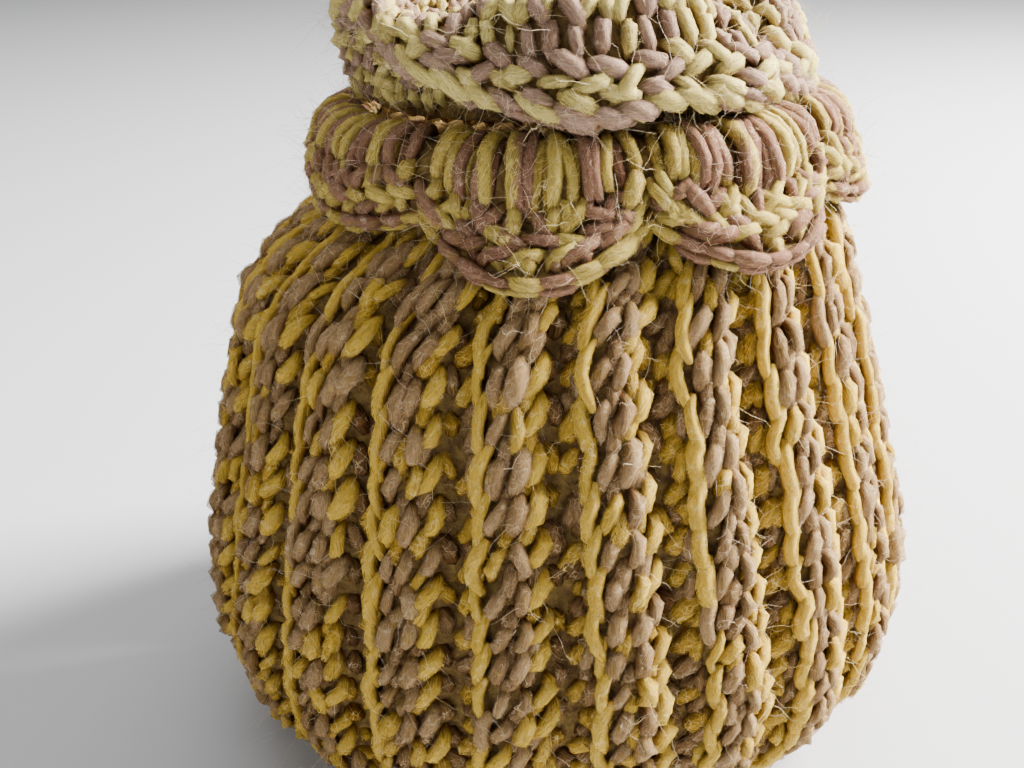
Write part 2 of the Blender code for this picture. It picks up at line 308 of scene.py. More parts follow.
# Closed cloth under the yarn
def mesh_piece(name, vertices, faces, material):
    """A closed mesh with its faces turned outwards, as a piece."""
    builder = bmesh.new()
    made = [builder.verts.new(vertex) for vertex in vertices]
    for face in faces:
        builder.faces.new([made[corner] for corner in face])
    bmesh.ops.recalc_face_normals(builder, faces=builder.faces)
    mesh = bpy.data.meshes.new(name)
    builder.to_mesh(mesh)
    builder.free()
    mesh.shade_smooth()
    mesh.materials.append(material)
    piece = bpy.data.objects.new(name, mesh)
    bpy.context.scene.collection.objects.link(piece)
    return piece


COLUMNS_A_RIB = 8
COVER_ROW = 0.0032                     # about how high a row of the cover's cloth is
HEM_ROLL = 0.008                       # length over which the flat hem turns into the wall
CROWN_MIDDLE = 0.0002                  # smallest radius inside the crown


def cover_climbs():
    """Rows of the cover's cloth, with the ends of each slit among them."""
    ends = sorted({COVER_KEYS[end] for slit in SLITS for end in (slit.first, slit.last)})
    stops = [0.0, *ends, COVER_KEYS[-1]]
    rows = []
    for low, high in zip(stops, stops[1:]):
        count = max(2, round((high - low) / COVER_ROW))
        rows.extend(np.linspace(low, high, count, endpoint=False))
    return np.array([*rows, COVER_KEYS[-1]])


def cover_faces(climbs, columns):
    """Faces of both walls, the crown's middle, the hem and the edges of the slits."""
    rows = len(climbs)
    faces = []

    def corner(row, column, inside=0):
        return inside * rows * columns + row * columns + column % columns

    gaps = []
    for slit in SLITS:
        first, last = (int(np.argmin(np.abs(climbs - COVER_KEYS[end])))
                       for end in (slit.first, slit.last))
        gaps.append((first, last, ((slit.valley % RIB_COUNT) + 1) * COLUMNS_A_RIB - 1))
    for row in range(rows - 1):
        for column in range(columns):
            if any(low <= row < high and column == gap for low, high, gap in gaps):
                continue
            for inside in (0, 1):
                faces.append((
                    corner(row, column, inside), corner(row, column + 1, inside),
                    corner(row + 1, column + 1, inside), corner(row + 1, column, inside),
                ))
    for inside in (0, 1):
        faces.append(tuple(corner(rows - 1, column, inside) for column in range(columns)))

    def rim(start, end):
        """A face from wall to wall between two corners, each a row and a column."""
        faces.append((corner(*start), corner(*end), corner(*end, 1), corner(*start, 1)))

    for column in range(columns):
        rim((0, column), (0, column + 1))
    for first, last, gap in gaps:
        for row in range(first, last):
            for column in (gap, gap + 1):
                rim((row, column), (row + 1, column))
        for row in (first, last):
            rim((row, gap), (row, gap + 1))
    return faces


def cover_cloth(material):
    """The cover's cloth as one shell with two slits: ribs outside, plain inside."""
    climbs = cover_climbs()
    columns = RIB_COUNT * COLUMNS_A_RIB
    share = (np.arange(columns) % COLUMNS_A_RIB + 0.5) / COLUMNS_A_RIB - 0.5
    azimuth = FIRST_CREST + RIB_PITCH * (np.arange(columns) // COLUMNS_A_RIB + share)
    grid_azimuth, grid_climb = np.meshgrid(azimuth, climbs)
    outer = cover_face(grid_azimuth, grid_climb, YARN_SINK * ease(grid_climb / 0.006))
    height, radius, rib, out, up = cover_profile(grid_climb)
    depth = rib + CLOTH_BEHIND_RIB
    hem = 1.0 - ease(grid_climb / HEM_ROLL)
    inner_radius = radius - (depth * out * (1 - hem) + HEM_WIDTH * hem)
    inner_height = (height - depth * up) * (1 - hem) + height * hem
    inner = turned(moved_aside(grid_azimuth, grid_climb), np.maximum(inner_radius, CROWN_MIDDLE),
                   np.maximum(inner_height, 0.0))
    inner[..., 0] += lean_at(height)
    vertices = np.concatenate((outer.reshape(-1, 3), inner.reshape(-1, 3)))
    faces = cover_faces(climbs, columns)
    return mesh_piece("cover_cloth", vertices, faces, material)


STRIP_COLUMNS = 240
STRIP_ROWS = 10


def strip_cloth(name, surface, thickness, material):
    """A closed strip round the neck with rounded edges, from its middle surface."""
    azimuth = np.arange(STRIP_COLUMNS) * 360.0 / STRIP_COLUMNS + SHELLS[0, 0]
    bend = np.linspace(0.0, np.pi, 5)[1:-1]
    half = 0.5 * thickness - YARN_SINK
    section = [(share, 1.0) for share in np.linspace(0.0, 1.0, STRIP_ROWS)]
    section += [(1.0, float(np.cos(angle))) for angle in bend]
    section += [(share, -1.0) for share in np.linspace(1.0, 0.0, STRIP_ROWS)]
    section += [(0.0, float(-np.cos(angle))) for angle in bend]
    rings = []
    for share, side in section:
        place = np.full(STRIP_COLUMNS, share)
        middle = surface(azimuth, place)
        normal = -outward(surface, azimuth, place, SHARE_STEP)
        ring = middle + half * side * normal
        if abs(side) < 1.0:
            away = towards_edge(surface, azimuth, place)
            ring += np.sqrt(1.0 - side ** 2) * half * away * (1.0 if share > 0.5 else -1.0)
        rings.append(ring)
    faces = []
    for number in range(len(rings)):
        after = (number + 1) % len(rings)
        for column in range(STRIP_COLUMNS):
            beside = (column + 1) % STRIP_COLUMNS
            faces.append((number * STRIP_COLUMNS + column, number * STRIP_COLUMNS + beside,
                          after * STRIP_COLUMNS + beside, after * STRIP_COLUMNS + column))
    return mesh_piece(name, np.concatenate(rings), faces, material)


# Yarn: strands are laid as lines of points, and one tree of nodes spins them
LOWEST = 0.0003                        # how low yarn and hair may reach
LUMPS_A_METRE = 620.0                  # how close the lumps of a strand stand
OUTER_FACING = 0.2                     # how far a face looks outwards before hair grows on it
HAIR_TAPER = 0.6                       # share of a hair's thickness lost at its tip


class Strands:
    """Lines of points for one piece, with thickness, tone (0 yellow, 1 mauve) and shade: random
    brightness with painted shade and painted light.
    """

    def __init__(self, seed):
        self.random = np.random.default_rng(seed)
        self.rows = []

    def lay(self, place, thick, tone, shade=0.0, closed=False):
        """A batch of strands: points and outward directions, each (strands, points, 3)."""
        points, out = place
        shape = points.shape[:2]
        seeds = self.random.random((shape[0], 1))
        values = [np.broadcast_to(value, shape) for value in (thick, tone, shade, seeds)]
        self.rows.append((points, out, values, closed))

    def mesh(self, name):
        """All batches as one mesh of edges, with their values as attributes."""
        vertices, directions, edges, values, used = [], [], [], [], 0
        for points, out, measures, closed in self.rows:
            strands, count = points.shape[:2]
            numbers = used + np.arange(strands * count).reshape(strands, count)
            edges.append(np.stack((numbers[:, :-1], numbers[:, 1:]), -1).reshape(-1, 2))
            if closed:
                edges.append(np.stack((numbers[:, -1], numbers[:, 0]), -1))
            vertices.append(points.reshape(-1, 3))
            directions.append(out.reshape(-1, 3))
            values.append(np.stack(measures, -1).reshape(-1, len(measures)))
            used += strands * count
        mesh = bpy.data.meshes.new(name)
        mesh.from_pydata(np.concatenate(vertices).tolist(), np.concatenate(edges).tolist(), [])
        values = np.concatenate(values).astype(np.float32)
        for number, title in enumerate(("thick", "tone", "shade", "seed")):
            mesh.attributes.new(title, "FLOAT", "POINT").data.foreach_set(
                "value", values[:, number])
        directions = np.concatenate(directions).astype(np.float32)
        mesh.attributes.new("out", "FLOAT_VECTOR", "POINT").data.foreach_set(
            "vector", directions.ravel())
        return mesh


class Tree:
    """A node tree under construction: nodes by type, links by socket name or number."""

    def __init__(self, tree):
        self.tree = tree

    def add(self, kind, settings=None, **inputs):
        node = self.tree.nodes.new(kind)
        for name, value in (settings or {}).items():
            setattr(node, name, value)
        for name, value in inputs.items():
            self.feed(node, name.replace("_", " "), value)
        return node

    def feed(self, node, name, value):
        """Set an input, or link it where the value is an output socket."""
        key = int(name[3:]) if name.startswith("in ") else name
        socket = node.inputs[key]
        if isinstance(value, bpy.types.NodeSocket):
            self.tree.links.new(value, socket)
        else:
            socket.default_value = value

    def math(self, operation, *values, clamp=False):
        node = self.tree.nodes.new("ShaderNodeMath")
        node.operation = operation
        node.use_clamp = clamp
        for number, value in enumerate(values):
            self.feed(node, f"in {number}", value)
        return node.outputs[0]

    def vector(self, operation, *values, **inputs):
        """The outputs of a sum, product or the like of vectors."""
        node = self.add("ShaderNodeVectorMath", {"operation": operation}, **inputs)
        for number, value in enumerate(values):
            self.feed(node, f"in {number}", value)
        return node.outputs

    def stored(self, geometry, name, value):
        """The geometry with a value kept on it under a name."""
        return self.add("GeometryNodeStoreNamedAttribute", Geometry=geometry, Name=name,
                        Value=value).outputs[0]

    def named(self, name, kind="FLOAT"):
        """A value kept on the geometry."""
        return self.add("GeometryNodeInputNamedAttribute", {"data_type": kind},
                        Name=name).outputs[0]

    def circle(self, sides):
        ring = self.add("GeometryNodeCurvePrimitiveCircle", Resolution=sides)
        ring.inputs["Radius"].default_value = 1.0
        return ring.outputs[0]


def geometry_tree(name, sockets):
    """An empty geometry tree with named inputs: (name, socket type, default)."""
    tree = bpy.data.node_groups.new(name, "GeometryNodeTree")
    tree.interface.new_socket("Geometry", in_out="INPUT", socket_type="NodeSocketGeometry")
    for title, kind, default in sockets:
        socket = tree.interface.new_socket(title, in_out="INPUT", socket_type=kind)
        if default is not None:
            socket.default_value = default
    tree.interface.new_socket("Geometry", in_out="OUTPUT", socket_type="NodeSocketGeometry")
    making = Tree(tree)
    source = making.add("NodeGroupInput")
    return making, source


def close_tree(making, source, geometry):
    """Realize, smooth and give the material, then out."""
    realized = making.add("GeometryNodeRealizeInstances", Geometry=geometry)
    smooth = making.add("GeometryNodeSetShadeSmooth", Geometry=realized.outputs[0])
    painted = making.add(
        "GeometryNodeSetMaterial", Geometry=smooth.outputs[0], Material=source.outputs["Material"]
    )
    making.add("NodeGroupOutput", Geometry=painted.outputs[0])
    return making.tree


def kept_up(making, geometry):
    """Nothing reaches under the surface that the hem rests on."""
    place = making.add("GeometryNodeInputPosition").outputs[0]
    parts = making.add("ShaderNodeSeparateXYZ", Vector=place)
    limited = making.add("ShaderNodeCombineXYZ", X=parts.outputs["X"], Y=parts.outputs["Y"],
                         Z=making.math("MAXIMUM", parts.outputs["Z"], LOWEST))
    return making.add("GeometryNodeSetPosition", Geometry=geometry,
                      Position=limited.outputs[0]).outputs[0]


def scaled(making, vector, size):
    """A vector or a colour made larger by a number."""
    return making.vector("SCALE", vector, Scale=size)[0]


def wobble(making, scale, detail=1.0):
    """A noise in space whose three parts go from about -0.5 to 0.5."""
    place = making.add("GeometryNodeInputPosition").outputs[0]
    noise = making.add("ShaderNodeTexNoise", Vector=place, Scale=scale, Detail=detail)
    return making.vector("SUBTRACT", noise.outputs["Color"], (0.5, 0.5, 0.5))[0]


def spinning_tree():
    """Spins lines of points into uneven strands, as thick as each point says."""
    making, source = geometry_tree("spin_yarn", (
        ("Sides", "NodeSocketInt", 6), ("Lumps", "NodeSocketFloat", 0.5),
        ("Step", "NodeSocketFloat", 0.0016), ("Swell", "NodeSocketFloat", 0.97),
        ("Material", "NodeSocketMaterial", None),
    ))
    line = making.add("GeometryNodeMeshToCurve", Mesh=source.outputs["Geometry"])
    length = making.add("GeometryNodeSplineParameter").outputs["Length"]
    stepped = making.add("GeometryNodeResampleCurve", {"mode": "LENGTH"},
                         Curve=making.stored(line.outputs[0], "along", length),
                         Length=source.outputs["Step"])
    place = making.add("ShaderNodeSeparateXYZ",
                       Vector=making.add("GeometryNodeInputPosition").outputs[0])
    profile = making.circle(source.outputs["Sides"])
    for title, part in (("side_x", "X"), ("side_y", "Y")):
        profile = making.stored(profile, title, place.outputs[part])
    thick = making.named("thick")
    spun = making.add("GeometryNodeCurveToMesh", Curve=stepped.outputs[0], Fill_Caps=True,
                      Scale=making.math("MULTIPLY", thick, source.outputs["Swell"]),
                      Profile_Curve=profile)
    normal = making.add("GeometryNodeInputNormal").outputs[0]
    facing = making.vector("DOT_PRODUCT", normal, making.named("out", "FLOAT_VECTOR"))
    faced = making.stored(spun.outputs[0], "facing", facing["Value"])
    lump = making.add("ShaderNodeSeparateXYZ", Vector=wobble(making, LUMPS_A_METRE))
    size = making.math("MULTIPLY", making.math("MULTIPLY", lump.outputs["X"], thick),
                       source.outputs["Lumps"])
    lumpy = making.add("GeometryNodeSetPosition", Geometry=faced,
                       Offset=scaled(making, normal, size))
    return close_tree(making, source, kept_up(making, lumpy.outputs[0]))


def hair_tree():
    """Scatters loose hairs that stand off the strands' outer faces and curl."""
    making, source = geometry_tree("loose_hair", (
        ("Density", "NodeSocketFloat", 1.0), ("Shortest", "NodeSocketFloat", 0.002),
        ("Longest", "NodeSocketFloat", 0.006), ("Thickness", "NodeSocketFloat", 0.00003),
        ("Curl", "NodeSocketFloat", 0.004), ("Curls a metre", "NodeSocketFloat", 300.0),
        ("Seed", "NodeSocketInt", 1), ("Bends", "NodeSocketInt", 6),
        ("Lean", "NodeSocketFloat", 1.0), ("Material", "NodeSocketMaterial", None),
    ))
    outer = making.add("FunctionNodeCompare", {"operation": "GREATER_THAN"},
                       in_0=making.named("facing"), in_1=OUTER_FACING)
    points = making.add("GeometryNodeDistributePointsOnFaces", Mesh=source.outputs["Geometry"],
                        Selection=outer.outputs[0], Density=source.outputs["Density"],
                        Seed=source.outputs["Seed"])
    strand = making.add("GeometryNodeCurvePrimitiveLine", End=(0.0, 0.0, 1.0))
    bent = making.add("GeometryNodeResampleCurve", Curve=strand.outputs[0],
                      Count=source.outputs["Bends"])
    tilt = making.add("FunctionNodeRandomValue", {"data_type": "FLOAT_VECTOR"},
                      Seed=source.outputs["Seed"])
    tilt.inputs["Min"].default_value = (-1.0, -1.0, -1.0)
    tilt.inputs["Max"].default_value = (1.0, 1.0, 1.0)
    spread = scaled(making, tilt.outputs[0], source.outputs["Lean"])
    leaning = making.vector("ADD", points.outputs["Normal"], spread)[0]
    turn = making.add("FunctionNodeAlignRotationToVector", {"axis": "Z"}, Vector=leaning)
    size = making.add("FunctionNodeRandomValue", {"data_type": "FLOAT"},
                      in_2=source.outputs["Shortest"], in_3=source.outputs["Longest"],
                      Seed=source.outputs["Seed"])
    placed = making.add("GeometryNodeInstanceOnPoints", Points=points.outputs["Points"],
                        Instance=bent.outputs[0], Rotation=turn.outputs[0],
                        Scale=size.outputs[1])
    real = making.add("GeometryNodeRealizeInstances", Geometry=placed.outputs[0])
    share = making.add("GeometryNodeSplineParameter").outputs["Factor"]
    reach = making.math("MULTIPLY", share, source.outputs["Curl"])
    curl = scaled(making, wobble(making, source.outputs["Curls a metre"], 2.0), reach)
    curled = making.add("GeometryNodeSetPosition", Geometry=real.outputs[0], Offset=curl)
    taper = making.math("MULTIPLY", source.outputs["Thickness"],
                        making.math("SUBTRACT", 1.0, making.math("MULTIPLY", share, HAIR_TAPER)))
    hair = making.add("GeometryNodeCurveToMesh", Curve=kept_up(making, curled.outputs[0]),
                      Scale=taper, Fill_Caps=True, Profile_Curve=making.circle(3))
    return close_tree(making, source, hair.outputs[0])


def grow(name, mesh, tree, **values):
    """Run a tree on a mesh and keep the result as a plain piece."""
    source = bpy.data.objects.new(name + "_source", mesh)
    bpy.context.scene.collection.objects.link(source)
    modifier = source.modifiers.new(name, "NODES")
    modifier.node_group = tree
    for item in tree.interface.items_tree:
        title = item.name.replace(" ", "_")
        if item.in_out == "INPUT" and title in values:
            modifier[item.identifier] = values[title]
    evaluated = source.evaluated_get(bpy.context.evaluated_depsgraph_get())
    made = bpy.data.meshes.new_from_object(evaluated)
    bpy.data.objects.remove(source)
    made.name = name
    piece = bpy.data.objects.new(name, made)
    bpy.context.scene.collection.objects.link(piece)
    return piece


# Short strands
STROKE_POINTS = 7
FLANK_POINTS = 5
# painted shade: strands are drawn darker where they dive in
END_SHADE = 1.1                        # how much darker a strand is where it dives in
ODD_STRANDS = 0.22                     # share of strands whose wool isn't the row's next


def drawn(start, end, bow, share):
    """Straight from start to end with a bow in the middle; start and end are columns."""
    return start + (end - start) * share + bow * np.sin(np.pi * share)


def lay_strokes(strands, place, start, end, thick, lift, tone, shade=0.0, dive=1.0, loose=1.0):
    """Short strands from start to end, pairs of azimuth and share, whose ends dive in."""
    random = strands.random
    count = len(tone)

    def jitter(spread):
        return random.normal(0.0, spread, (count, 1))

    path = np.linspace(0.0, 1.0, STROKE_POINTS)[None, :]
    hump = np.sin(np.pi * path) ** 0.5
    bend = np.sin(2.0 * np.pi * path)
    azimuth = drawn(start[0][:, None] + jitter(0.5 * loose), end[0][:, None] + jitter(0.5 * loose),
                    jitter(0.5 * loose), path) + bend * jitter(0.5 * loose)
    share = drawn(start[1] + jitter(0.012 * loose), end[1] + jitter(0.012 * loose), 0.0, path)
    size = thick * (1.0 + jitter(0.12)) * (0.55 + 0.45 * hump)
    rise = (lift + jitter(0.2) - 2.0 * dive * (1.0 - hump)) * MM
    # painted shade at the ends that dive in, on a random brightness for each strand
    depth = shade + jitter(0.5) - dive * END_SHADE * (1.0 - hump)
    strands.lay(place(azimuth, share, rise), size * MM, tone[:, None], depth)


def in_pairs(strands, count, mauve=0.5):
    """Tones of neighbouring strands: two yellow, two mauve, with odd ones among them."""
    odd = strands.random.random(count) < ODD_STRANDS
    tone = ((np.arange(count) + strands.random.integers(0, 4)) % 4 < 4 * mauve).astype(float)
    return np.abs(tone - odd)


Stroke = namedtuple("Stroke", "x_from x_to t_from t_to bow thick lift mauve shade dive")


# Stitches of the cover: how tall they are low and high up, and the heights between which
# they grow and where they end
STITCH_LOW = 6.0 * MM
STITCH_HIGH = 7.9 * MM
GROWING = (0.040, 0.085)
STITCH_TOP = 0.128
RIB_WIDTH_MM = 20.0
# Strands of one stitch: x in mm to the right of the rib's yellow line, t in stitches, bow,
# thickness and lift in mm, mauve the share of mauve strands, shade a painted shade where below 0
# and a painted light where above 0, dive how far the ends go in
FACE_STROKES = (
    Stroke(4.6, 1.5, 1.02, 0.00, -0.3, 1.42, 0.35, 0.84, 0.0, 1.0),
    Stroke(7.1, 5.8, 1.15, 0.13, 0.5, 1.55, 0.45, 0.84, 0.0, 1.0),
    Stroke(11.5, 7.6, 1.32, 0.34, 0.8, 1.48, 0.30, 0.10, 0.2, 1.0),
)
# the strands low in the valleys are drawn darker by their shade: painted shade
FLANK_STROKES = (
    Stroke(5.8, 3.2, 0.60, -0.42, 0.0, 1.40, -0.80, 0.65, -1.2, 0.8),
    Stroke(9.6, 7.4, 0.80, -0.22, 0.3, 1.40, -0.80, 0.50, -1.2, 0.8),
    Stroke(-0.6, -2.6, 1.00, 0.02, -0.3, 1.35, -0.70, 0.60, -0.9, 0.8),
    Stroke(18.4, 14.8, 0.98, 0.28, -0.4, 1.85, -1.30, 0.22, -1.1, 1.0),
    Stroke(17.4, 15.4, 0.42, -0.16, 0.4, 1.70, -1.60, 0.85, -1.7, 1.0),
    Stroke(12.0, 13.8, 0.36, -0.42, 0.4, 1.60, -1.15, 0.65, -2.0, 0.8),
)
# the yellow lines are drawn lighter by their shade: painted light
LINE_STROKES = (
    Stroke(1.2, 0.5, 1.28, -0.30, -1.2, 1.26, 0.95, 0.08, 0.7, 0.38),
)
OFF_SLIT = 1.3                         # degrees that strands keep from the middle of a slit
BORDER_OFF_SLIT = 0.55                 # and the cords round its edge
FURTHEST_PUSH = 10.0                   # degrees past which a point of a strand isn't moved
ABOVE_HEM = 0.0012                     # length up the cover at which the first strands may start
TOP_HEIGHT = 0.124                     # height under the collar that the last ones reach
FULL_RADIUS = 0.068                    # radius from which the yarn isn't gathered


def stitch_climbs():
    """Lengths up the cover at which each stitch of a rib starts."""
    low, high = (climb_at_height(height) for height in GROWING)
    climbs = [-STITCH_LOW]
    while climbs[-1] < climb_at_height(STITCH_TOP):
        share = ease((climbs[-1] - low) / (high - low))
        climbs.append(climbs[-1] + STITCH_LOW + (STITCH_HIGH - STITCH_LOW) * float(share))
    return np.array(climbs)


STITCH_CLIMBS = stitch_climbs()
RIB_PHASES = np.random.default_rng(11).random(RIB_COUNT)


def climb_of(stitch):
    return np.interp(stitch, np.arange(len(STITCH_CLIMBS)), STITCH_CLIMBS)


def narrowing(climb):
    """How much the ribs, and the yarn on them, are gathered at a length up the cover."""
    radius = cover_profile(climb)[1]
    return np.clip(radius / FULL_RADIUS, 0.2, 1.0)


def beside_slits(azimuth, climb):
    """Keep each strand that meets a slit on the side where most of it lies."""
    for slit in SLITS:
        level = (climb > COVER_KEYS[slit.first]) & (climb < COVER_KEYS[slit.last])
        away = (azimuth - slit_azimuth(slit) + 180.0) % 360.0 - 180.0
        side = np.where(away.mean(axis=1, keepdims=True) < 0.0, -1.0, 1.0)
        short = np.maximum(OFF_SLIT - side * away, 0.0)
        azimuth = azimuth + np.where(level & (short < FURTHEST_PUSH), side * short, 0.0)
    return azimuth


def rib_strokes(strands, strokes, points=STROKE_POINTS):
    """Lay the same strands on every stitch of every rib, each a little different."""
    random = strands.random
    share = np.linspace(0.0, 1.0, points)[None, :]
    hump = np.sin(np.pi * share) ** 0.55
    rib, stitch = np.meshgrid(np.arange(RIB_COUNT), np.arange(len(STITCH_CLIMBS) - 2))
    rib, stitch = rib.reshape(-1, 1), stitch.reshape(-1, 1)
    row = stitch + RIB_PHASES[rib] + random.normal(0.0, 0.05, rib.shape)
    under_collar = climb_at_height(TOP_HEIGHT)
    for stroke in strokes:

        def jitter(spread):
            return random.normal(0.0, spread, rib.shape)

        x = drawn(stroke.x_from + jitter(0.45), stroke.x_to + jitter(0.40),
                  stroke.bow + jitter(0.35), share)
        x = x + jitter(0.35) * np.sin(2.0 * np.pi * share)
        t = drawn(row + stroke.t_from + jitter(0.07), row + stroke.t_to + jitter(0.07),
                  0.0, share)
        climb = climb_of(t)
        gather = narrowing(climb) ** 0.5
        azimuth = beside_slits(FIRST_CREST + RIB_PITCH * (rib - 0.25 + x / RIB_WIDTH_MM), climb)
        thick = stroke.thick * (1.0 + jitter(0.13)) * (0.5 + 0.5 * hump ** stroke.dive) * gather
        lift = stroke.lift + jitter(0.22) - 2.2 * stroke.dive * (1.0 - hump)
        points_out = on_cover(azimuth, climb, lift * MM * gather)
        tone = (random.random(rib.shape) < stroke.mauve).astype(float)
        whole = (climb.min(axis=1) > ABOVE_HEM) & (climb.max(axis=1) < under_collar)
        # painted shade at the ends that dive in, on a random brightness for each strand
        shade = stroke.shade + jitter(0.5) - stroke.dive * END_SHADE * (1.0 - hump)
        strands.lay([part[whole] for part in points_out], (thick * MM)[whole], tone[whole],
                    shade[whole])


def slit_borders(strands, points=24):
    """Two cords round the edge of each slit."""
    up = np.linspace(0.0, 1.0, points)
    share = np.concatenate((up, up[-2:0:-1]))
    side = np.concatenate((np.ones(points), -np.ones(points - 2)))
    for slit in SLITS:
        low, high = COVER_KEYS[slit.first], COVER_KEYS[slit.last]
        climb = low + (high - low) * share
        azimuth = slit_azimuth(slit) + side * BORDER_OFF_SLIT
        for sink, thick, tone in ((0.6, 1.25, 0.15), (2.7, 1.2, 0.75)):
            place = on_cover(azimuth, climb, np.full(len(share), -sink * MM))
            strands.lay([part[None] for part in place], thick * MM, tone, closed=True)


PLEATS = 2 * RIB_COUNT
CROWN_RING = 17                        # ring of the cover from which the crown's cords start
CROWN_THREAD_POINTS = 28


def crown_pleats(strands):
    """Gathered cords from the neck to the middle of the crown, and the thread round it."""
    start, end = COVER_KEYS[CROWN_RING] - 0.001, COVER_KEYS[-1] - 0.003
    climb = np.linspace(start, end, 14)[None, :] + np.zeros((PLEATS, 1))
    turn = np.arange(PLEATS)[:, None] * RIB_PITCH * 0.5
    radius = cover_profile(climb)[1]
    thick = np.minimum(1.25 * MM, 0.9 * np.pi * radius / PLEATS)
    place = on_cover(FIRST_CREST - 0.25 * RIB_PITCH + turn, climb, 0.35 * thick)
    tone = (strands.random.random((PLEATS, 1)) < 0.4).astype(float)
    # the cords are drawn darker by their shade: painted shade
    strands.lay(place, thick, tone, strands.random.normal(-1.0, 0.3, (PLEATS, 1)))
    around = np.linspace(0.0, 360.0, CROWN_THREAD_POINTS, endpoint=False)
    ring = on_cover(around, np.full(CROWN_THREAD_POINTS, end - 0.0035),
                    np.full(CROWN_THREAD_POINTS, 0.9 * MM))
    strands.lay([part[None] for part in ring], 0.8 * MM, 0.1, closed=True)


# Rows of stitches on a strip: count round a shell or the whole rim, lean in degrees from start
# to end, start and end as shares of the collar or of the length from the ruffle's rim,
# thickness and lift in mm, shade the painted shade of rows that lie low and the painted light
# of some raised ones
Row = namedtuple("Row", "count turn lean start end thick lift mauve shade")
COLLAR_ROWS = (
    Row(13, 0.0, 0.0, 0.02, 0.66, 1.15, -0.70, 0.7, -1.4),
    Row(14, 0.5, 0.0, 0.00, 0.60, 1.22, 0.30, 0.5, 0.0),
    Row(8, 0.3, 1.5, 0.53, 0.78, 1.28, 0.35, 0.5, 0.1),
    Row(8, 0.8, -1.4, 0.53, 0.77, 1.28, 0.25, 0.5, 0.0),
    Row(9, 0.0, 3.3, 0.72, 0.86, 1.36, 0.50, 0.25, 0.3),
    Row(9, 0.5, -3.0, 0.83, 0.96, 1.36, 0.35, 0.5, 0.0),
    Row(9, 0.2, 1.0, 0.80, 1.00, 1.30, -0.30, 0.7, -0.8),
)
FAN_TOP = 0.80                         # how close the posts stand at the root of a shell
FAN_EDGE = 0.97                        # and at its edge
EDGE_STROKES = 9                       # strands of one cord along a shell's edge
RUFFLE_ROWS = (
    Row(76, 0.0, 0.6, 0.97, 0.66, 1.30, -0.10, 0.5, -0.6),
    Row(54, 0.0, 3.0, 0.73, 0.58, 1.35, 0.30, 0.5, -0.2),
    Row(54, 0.5, -3.0, 0.73, 0.58, 1.35, 0.20, 0.25, -0.2),
    Row(76, 0.3, -0.8, 0.62, 0.42, 1.35, 0.10, 0.5, 0.0),
    Row(54, 0.0, 2.6, 0.45, 0.31, 1.35, 0.30, 0.5, 0.1),
    Row(54, 0.5, -2.6, 0.45, 0.31, 1.35, 0.25, 0.25, 0.0),
    Row(80, 0.2, 0.8, 0.34, 0.16, 1.30, 0.00, 0.5, -0.1),
    Row(50, 0.0, 7.4, 0.20, 0.12, 1.45, 0.45, 0.5, 0.1),
    Row(50, 0.5, 7.4, 0.04, 0.13, 1.45, 0.50, 0.25, 0.3),
    Row(50, 0.1, 6.4, 0.06, 0.00, 1.40, 0.20, 0.5, 0.0),
)


def collar_stitches(strands):
    """Fanned posts, slanted heads and a chain on every shell, and the cords round its edge."""
    place = on_strip(collar_middle, COLLAR_THICKNESS, 1.0)
    edge = on_edge(collar_middle, COLLAR_THICKNESS)
    for begin, finish, _ in SHELLS:
        middle, width = 0.5 * (begin + finish), finish - begin
        for row in COLLAR_ROWS:
            step = (np.arange(row.count) + 0.5 + 0.5 * (row.turn - 0.5)) / row.count - 0.5
            near = FAN_TOP + (FAN_EDGE - FAN_TOP) * row.start
            far = FAN_TOP + (FAN_EDGE - FAN_TOP) * row.end
            lay_strokes(
                strands, place, (middle + width * step * near - row.lean, row.start),
                (middle + width * step * far + row.lean, row.end), row.thick, row.lift,
                in_pairs(strands, row.count, row.mauve), row.shade, loose=1.5,
            )
        step = begin + width * (np.arange(EDGE_STROKES) + 0.5) / EDGE_STROKES
        # the edge cords are drawn a little lighter by their shade: painted light
        for angle, ahead, thick, mauve, shade in ((55.0, 3.6, 1.25, 0.75, 0.1),
                                                  (-5.0, 4.2, 1.00, 0.25, 0.4)):
            lay_strokes(strands, edge, (step - ahead, angle), (step + ahead, angle - 12.0),
                        thick, -0.55, in_pairs(strands, EDGE_STROKES, mauve), shade, dive=0.5)


# Stitches of the ruffle: the cord along its rim has so many strands of so many degrees each way
RIM_STROKES = 60
RIM_REACH = 4.8


def ruffle_share(azimuths, part, steps=80):
    """Shares of the ruffle that are so far from its rim, as parts of its length there."""
    shares = np.linspace(1.0, 0.0, steps)
    found = []
    for azimuth in azimuths:
        lengths = lengths_along(ruffle_middle(np.full(steps, azimuth), shares))
        found.append(np.interp(part * lengths[-1], lengths, shares))
    return np.array(found)[:, None]


